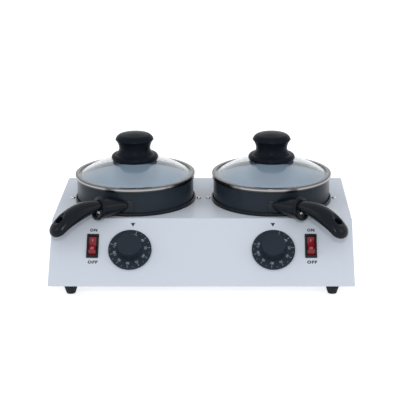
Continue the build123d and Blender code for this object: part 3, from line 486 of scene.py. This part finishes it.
pot_middle = (pot_x, pot_y, 0.0)
trim, _, trim_relief, _ = finish(
    "trim_plastic", (0.014, 0.017, 0.022), (0.009, 0.011, 0.015),
    rough=(0.20, 0.30), cloud=60.0, grain=1800.0, depth=0.00001,
    shine=0.15,
)
turn_marks(trim, trim_relief, 0.000008, pot_middle)
dress(trim, "trim_ring_left", "trim_ring_right")

# Dials
# Glossy black mouldings pressed on the thermostats' shafts. The scale is printed in white on
# the skirt, which has fine concentric lines, and a black triangle on the panel reads it.
slope = math.radians(45.0)
panel_up = Vector((0.0, math.cos(slope), math.sin(slope)))
panel_out = Vector((0.0, -math.sin(slope), math.cos(slope)))
shell_low, shell_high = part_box("cover_shell")
slope_run = shell_high.z - shell_low.z
fold_y = shell_low.y + slope_run


def panel_spot(x, drop, rise):
    """A place on the sloping panel: X to the right, Y up the slope, Z out of it."""
    origin = Vector((x, fold_y, shell_high.z)) - panel_up * drop + panel_out * rise
    rows = Matrix((Vector((1, 0, 0)), panel_up, panel_out)).transposed().to_4x4()
    return Matrix.Translation(origin) @ rows


dial_x = (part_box("dial_right")[0].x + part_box("dial_right")[1].x) / 2
dial_drop = 0.0424
skirt_top = 0.0037
dial_middle = panel_spot(dial_x, dial_drop, 0.0).translation
dial_black, _, dial_relief, _ = finish(
    "dial_plastic", (0.024, 0.033, 0.045), (0.017, 0.024, 0.033),
    rough=(0.26, 0.36), cloud=50.0, grain=1800.0, depth=0.00001,
    edge=0.0004, worn=(0.026, 0.032, 0.042), shine=0.08,
)
turn_marks(dial_black, dial_relief, 0.00003, dial_middle, -slope, 3500.0)
dress(dial_black, "dial_left", "dial_right")
scale_white = finish(
    "scale_print", (0.30, 0.34, 0.38), (0.20, 0.24, 0.28),
    rough=(0.45, 0.6), cloud=300.0, grain=3000.0, depth=0.00001,
)[0]
print_black = finish(
    "panel_print", (0.010, 0.011, 0.016), (0.006, 0.007, 0.010),
    rough=(0.4, 0.55), cloud=300.0, grain=3000.0, depth=0.00001,
)[0]
letter_thickness = 0.00005


def lettering(name, words, width, height, spot, material, body, weight=0.02, spacing=1.0):
    """Printed words of a given width and height, a few hundredths of a millimetre thick."""
    curve = bpy.data.curves.new(name, "FONT")
    curve.body = words
    curve.extrude = 0.01
    curve.offset = weight
    curve.space_character = spacing
    curve.resolution_u = 3
    source = bpy.data.objects.new(name, curve)
    bpy.context.scene.collection.objects.link(source)
    bpy.context.view_layer.update()
    graph = bpy.context.evaluated_depsgraph_get()
    mesh = bpy.data.meshes.new_from_object(source.evaluated_get(graph))
    bpy.data.objects.remove(source)
    low = Vector(min(v.co[i] for v in mesh.vertices) for i in range(3))
    high = Vector(max(v.co[i] for v in mesh.vertices) for i in range(3))
    middle = (low + high) / 2
    size = high - low
    fit = Matrix.Diagonal((width / size.x, height / size.y, letter_thickness / size.z, 1.0))
    mesh.transform(spot @ fit @ Matrix.Translation(-middle))
    mesh.materials.clear()
    mesh.materials.append(material)
    obj = bpy.data.objects.new(name, mesh)
    bpy.context.scene.collection.objects.link(obj)
    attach(obj, body)
    return obj


print_root = -0.0001
print_top = 0.00004
tick_first = math.radians(18.4)
tick_step = math.radians(16.75)
tick_out = 0.0244
tick_sizes = ((0.0034, 0.00026), (0.0016, 0.00018))
numeral_out = 0.0186
numeral_width = 0.00195
numeral_height = 0.0031
numeral_lift = 0.00002
for side, x in (("left", -dial_x), ("right", dial_x)):
    body = f"dial_{side}_turning"
    centre = panel_spot(x, dial_drop, skirt_top)
    for number in range(17):
        length, half = tick_sizes[number % 2]
        inner = tick_out - length
        bar = [(-half, inner), (half, inner), (half, tick_out), (-half, tick_out)]
        spot = centre @ Matrix.Rotation(-tick_first - tick_step * number, 4, "Z")
        points, faces = plate(bar, print_root, print_top)
        piece(f"dial_{side}_tick_{number:02d}", points, faces, scale_white, body, spot)
        if number % 2 == 0:
            label = str(30 + 5 * number)
            width = numeral_width * len(label)
            spot = spot @ Matrix.Translation((0, numeral_out, numeral_lift))
            name = f"dial_{side}_{label}"
            lettering(name, label, width, numeral_height, spot, scale_white, body)
arrow_half = 0.0028
arrow_reach = 0.0026
arrow_drop = 0.0088
arrow = [(0.0, -arrow_reach), (arrow_half, arrow_reach), (-arrow_half, arrow_reach)]
arrow_places = {"left": -dial_x + 0.0024, "right": dial_x - 0.0002}
for side, x in arrow_places.items():
    points, faces = plate(arrow, print_root, print_top)
    spot = panel_spot(x, arrow_drop, 0.0)
    piece(f"dial_{side}_pointer", points, faces, print_black, "casing", spot)

# Switches
# Snap-in rocker switches: black glossy bezels, and rockers of translucent red plastic with white marks,
# darkened towards their sides with painted shade. ON and OFF are screen printed on the panel above and
# below each.
switch_black = finish(
    "switch_plastic", (0.014, 0.015, 0.018), (0.010, 0.011, 0.013),
    rough=(0.22, 0.32), cloud=80.0, grain=2200.0, depth=0.00001,
    edge=0.0004, worn=(0.014, 0.015, 0.018), shine=0.18,
)[0]
dress(switch_black, "switch_housing_left", "switch_housing_right")
rocker_red, rocker_surface = finish(
    "rocker_red", (0.29, 0.010, 0.018), (0.19, 0.007, 0.012),
    rough=(0.12, 0.20), cloud=120.0, grain=1800.0, depth=0.00001,
    edge=0.0005, worn=(0.34, 0.02, 0.03), shine=0.30,
)[:2]
rocker_surface.inputs["Coat Weight"].default_value = 0.12
rocker_surface.inputs["Coat Roughness"].default_value = 0.08
switch_x = (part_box("switch_housing_right")[0].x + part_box("switch_housing_right")[1].x) / 2
# Painted shade: the rocker's colour fades from red to near black towards its two sides. This stands for
# the shade on its rounded side faces.
red_half = 0.0034
shade_half = 0.0044
rocker_tree = rocker_red.node_tree
rocker_place = rocker_tree.nodes.new("ShaderNodeTexCoord")
rocker_axes = rocker_tree.nodes.new("ShaderNodeSeparateXYZ")
rocker_tree.links.new(rocker_place.outputs["Object"], rocker_axes.inputs[0])
rocker_out = math_node(rocker_tree, "ABSOLUTE", rocker_axes.outputs["X"], 0.0)
rocker_off = math_node(rocker_tree, "SUBTRACT", rocker_out, switch_x)
rocker_off = math_node(rocker_tree, "ABSOLUTE", rocker_off, 0.0)
rocker_side_shade = rocker_tree.nodes.new("ShaderNodeMapRange")
rocker_side_shade.interpolation_type = "SMOOTHSTEP"
rocker_side_shade.inputs["From Min"].default_value = red_half
rocker_side_shade.inputs["From Max"].default_value = shade_half
rocker_tree.links.new(rocker_off, rocker_side_shade.inputs["Value"])
rocker_shade_mix = rocker_tree.nodes.new("ShaderNodeMix")
rocker_shade_mix.data_type = "RGBA"
rocker_shade_mix.inputs["B"].default_value = (0.022, 0.004, 0.006, 1.0)
rocker_tree.links.new(rocker_side_shade.outputs["Result"], rocker_shade_mix.inputs["Factor"])
rocker_tone = rocker_surface.inputs["Base Color"].links[0].from_socket
rocker_tree.links.new(rocker_tone, rocker_shade_mix.inputs["A"])
rocker_tree.links.new(rocker_shade_mix.outputs["Result"], rocker_surface.inputs["Base Color"])
dress(rocker_red, "rocker_left", "rocker_right")
mark_white = finish(
    "rocker_marks", (0.60, 0.48, 0.48), (0.50, 0.38, 0.38),
    rough=(0.4, 0.5), cloud=300.0, grain=3000.0, depth=0.00001,
)[0]
switch_drop = 0.0369
pivot_depth = 0.003
rocker_reach = 0.0122
rocker_high = 0.0076
rocker_dish = 0.0015
rocker_lean = math.radians(-12.0)
face_reach = math.sqrt(rocker_reach**2 - rocker_high**2)
face_radius = (face_reach**2 + rocker_dish**2) / (2 * rocker_dish)


def rocker_spot(x, along):
    """A place on the rocker's dished face."""
    pivot = panel_spot(x, switch_drop, -pivot_depth) @ Matrix.Rotation(rocker_lean, 4, "X")
    rise = rocker_high - rocker_dish + face_radius - math.sqrt(face_radius**2 - along**2)
    tilt = math.asin(along / face_radius)
    return pivot @ Matrix.Translation((0, along, rise)) @ Matrix.Rotation(tilt, 4, "X")


mark_top = 0.00008
line_half = (0.0003, 0.0015)
line_along = 0.0052
circle_along = -0.0066
circle_radii = (0.0013, 0.0019)
circle_sides = 24
legend_height = 0.0041
legend_weight = 0.06
legend_spacing = 1.2
legends = (
    ("ON", 0.0088, 0.0158, {"left": 0.0002, "right": 0.0004}),
    ("OFF", 0.0118, 0.0578, {"left": 0.0009, "right": 0.0010}),
)
for side, x in (("left", -switch_x), ("right", switch_x)):
    body = f"rocker_{side}_tipping"
    half, reach = line_half
    bar = [(-half, -reach), (half, -reach), (half, reach), (-half, reach)]
    points, faces = plate(bar, print_root, mark_top)
    piece(f"rocker_{side}_line", points, faces, mark_white, body, rocker_spot(x, line_along))
    inner, outer = circle_radii
    section = ((inner, print_root), (outer, print_root), (outer, mark_top), (inner, mark_top))
    points = []
    faces = []
    for number in range(circle_sides):
        turn = 2 * math.pi * number / circle_sides
        across, along = math.cos(turn), math.sin(turn)
        points += [(radius * across, radius * along, rise) for radius, rise in section]
        now = 4 * number
        after = 4 * ((number + 1) % circle_sides)
        faces += [(now + i, now + (i + 1) % 4, after + (i + 1) % 4, after + i) for i in range(4)]
    piece(f"rocker_{side}_circle", points, faces, mark_white, body, rocker_spot(x, circle_along))
    for words, width, drop, shifts in legends:
        spot = panel_spot(x + shifts[side], drop, 0.0)
        name = f"switch_{side}_{words.lower()}"
        lettering(
            name, words, width, legend_height, spot, print_black, "casing", legend_weight, legend_spacing
        )

# Pans
# Pressed aluminium pans, black non-stick enamel outside and a pale grey non-stick inside, both
# with faint ring marks from spinning.
pan_coat, pan_surface, pan_relief, pan_tone = finish(
    "pan_coating", (0.022, 0.030, 0.039), (0.015, 0.021, 0.029),
    rough=(0.24, 0.34), cloud=40.0, grain=1600.0, depth=0.00001,
    shine=0.12,
)
pan_marks = turn_marks(pan_coat, pan_relief, 0.000012, pot_middle)
pan_tree = pan_coat.node_tree
inside_radius = 0.0714
inside_floor = 0.0502
inside_near = math_node(pan_tree, "LESS_THAN", pan_marks.outputs["Radius"], inside_radius)
inside_high = math_node(pan_tree, "GREATER_THAN", pan_marks.outputs["Height"], inside_floor)
inside = math_node(pan_tree, "MULTIPLY", inside_near, inside_high)
pan_mix = pan_tree.nodes.new("ShaderNodeMix")
pan_mix.data_type = "RGBA"
pan_pale = pan_tree.nodes.new("ShaderNodeGroup")
pan_pale.node_tree = mottle
pan_pale.inputs["Light"].default_value = (0.73, 0.79, 0.87, 1.0)
pan_pale.inputs["Dark"].default_value = (0.65, 0.71, 0.79, 1.0)
pan_pale.inputs["Cloud Size"].default_value = 22.0
pan_tree.links.new(inside, pan_mix.inputs["Factor"])
pan_tree.links.new(pan_tone.outputs["Color"], pan_mix.inputs["A"])
pan_tree.links.new(pan_pale.outputs["Color"], pan_mix.inputs["B"])
pan_tree.links.new(pan_mix.outputs["Result"], pan_surface.inputs["Base Color"])
dress(pan_coat, "pan_left", "pan_right")

# Handles and knobs
# Compression moulded bakelite, glossy where it is handled. Each handle is drawn by one screw
# under the arm onto a blackened steel bracket, which shows bare metal only at its edges.
bakelite = finish(
    "bakelite", (0.008, 0.011, 0.015), (0.005, 0.007, 0.010),
    rough=(0.13, 0.22), cloud=45.0, grain=1600.0, depth=0.000015,
    edge=0.0006, worn=(0.014, 0.017, 0.021), shine=0.12,
)[0]
dress(bakelite, "handle_left", "handle_right")
blackened = finish(
    "blackened_steel", (0.034, 0.037, 0.042), (0.020, 0.022, 0.026),
    rough=(0.30, 0.45), cloud=120.0, grain=2200.0, depth=0.00001, metallic=1.0,
    edge=0.0003, worn=(0.40, 0.40, 0.42),
)[0]
dress(blackened, "handle_bracket_left", "handle_bracket_right")
knob_black, _, knob_relief, _ = finish(
    "knob_bakelite", (0.008, 0.012, 0.017), (0.006, 0.008, 0.012),
    rough=(0.26, 0.36), cloud=45.0, grain=1600.0, depth=0.000015,
    shine=0.04,
)
turn_marks(knob_black, knob_relief, 0.00001, pot_middle)
dress(knob_black, "lid_knob_left", "lid_knob_right")

# Lids
# Domed tempered glass in a rolled stainless channel. The channel is polished in rings, with painted dark
# reflections and painted highlight lines in its colour, and the glass has a faint film that spreads its
# reflections.
stainless, stainless_surface, stainless_relief, _ = finish(
    "stainless_channel", (0.92, 0.92, 0.93), (0.80, 0.80, 0.82),
    rough=(0.14, 0.24), cloud=120.0, grain=2400.0, depth=0.000004, metallic=1.0,
    edge=0.0009, worn=(0.95, 0.95, 0.95),
)
rim_marks = turn_marks(stainless, stainless_relief, 0.000008, pot_middle)
rim_tree = stainless.node_tree


def shade_steps(tree, source, stops):
    """Grey tones along a measure in metres; the first two stops are its ends."""
    low, high = stops[0][0], stops[1][0]
    span = tree.nodes.new("ShaderNodeMapRange")
    span.inputs["From Min"].default_value = low
    span.inputs["From Max"].default_value = high
    tree.links.new(source, span.inputs["Value"])
    ramp = tree.nodes.new("ShaderNodeValToRGB")
    elements = ramp.color_ramp.elements
    for number, (place, shade) in enumerate(stops):
        stop = elements[number] if number < 2 else elements.new(0.5)
        stop.position = (place - low) / (high - low)
        stop.color = (shade, shade, shade, 1.0)
    tree.links.new(span.outputs["Result"], ramp.inputs["Fac"])
    return ramp.outputs["Color"]


# Painted light on the rim. Its colour is darkened in bands where the channel would mirror dim
# surroundings, which is a painted reflection. It is lightened in a thin band round its side and at its
# top edges where a lamp's glint would run, which is a painted highlight.
rim_top_light_stops = ((0.0690, 0.28), (0.0745, 0.20), (0.0710, 0.26), (0.0718, 0.09), (0.0734, 0.09))
rim_side_light_stops = (
    (0.1065, 0.05), (0.1118, 0.20), (0.1083, 0.07), (0.1088, 0.50),
    (0.1092, 0.50), (0.1097, 0.10), (0.1112, 0.10),
)
rim_top_painted_light = shade_steps(rim_tree, rim_marks.outputs["Radius"], rim_top_light_stops)
rim_side_painted_light = shade_steps(rim_tree, rim_marks.outputs["Height"], rim_side_light_stops)
rim_wall = 0.0739
rim_outer = math_node(rim_tree, "GREATER_THAN", rim_marks.outputs["Radius"], rim_wall)
rim_painted_light = rim_tree.nodes.new("ShaderNodeMix")
rim_painted_light.data_type = "RGBA"
rim_tree.links.new(rim_outer, rim_painted_light.inputs["Factor"])
rim_tree.links.new(rim_top_painted_light, rim_painted_light.inputs["A"])
rim_tree.links.new(rim_side_painted_light, rim_painted_light.inputs["B"])
rim_light_mix = rim_tree.nodes.new("ShaderNodeMix")
rim_light_mix.data_type = "RGBA"
rim_light_mix.blend_type = "MULTIPLY"
rim_light_mix.inputs["Factor"].default_value = 1.0
rim_tone = stainless_surface.inputs["Base Color"].links[0].from_socket
rim_tree.links.new(rim_tone, rim_light_mix.inputs["A"])
rim_tree.links.new(rim_painted_light.outputs["Result"], rim_light_mix.inputs["B"])
rim_tree.links.new(rim_light_mix.outputs["Result"], stainless_surface.inputs["Base Color"])
dress(stainless, "lid_rim_left", "lid_rim_right")
glass, glass_surface = finish(
    "lid_glass", (0.83, 0.87, 0.885), (0.79, 0.83, 0.855),
    rough=(0.01, 0.05), cloud=30.0, grain=55.0, depth=0.000006, shine=0.35,
)[:2]
glass_surface.inputs["Transmission Weight"].default_value = 1.0
glass_surface.inputs["IOR"].default_value = 1.45
glass_tree = glass.node_tree
glass_clear = glass_tree.nodes.new("ShaderNodeBsdfTransparent")
glass_clear.inputs["Color"].default_value = (0.90, 0.93, 0.94, 1.0)
glass_path = glass_tree.nodes.new("ShaderNodeLightPath")
glass_mix = glass_tree.nodes.new("ShaderNodeMixShader")
glass_out = glass_tree.nodes["Material Output"]
glass_shadow = glass_path.outputs["Is Shadow Ray"]
glass_soft = math_node(glass_tree, "MAXIMUM", glass_shadow, glass_path.outputs["Is Diffuse Ray"])
glass_tree.links.new(glass_soft, glass_mix.inputs["Fac"])
glass_tree.links.new(glass_surface.outputs[0], glass_mix.inputs[1])
glass_tree.links.new(glass_clear.outputs[0], glass_mix.inputs[2])
glass_tree.links.new(glass_mix.outputs[0], glass_out.inputs["Surface"])
dress(glass, "lid_glass_left", "lid_glass_right")
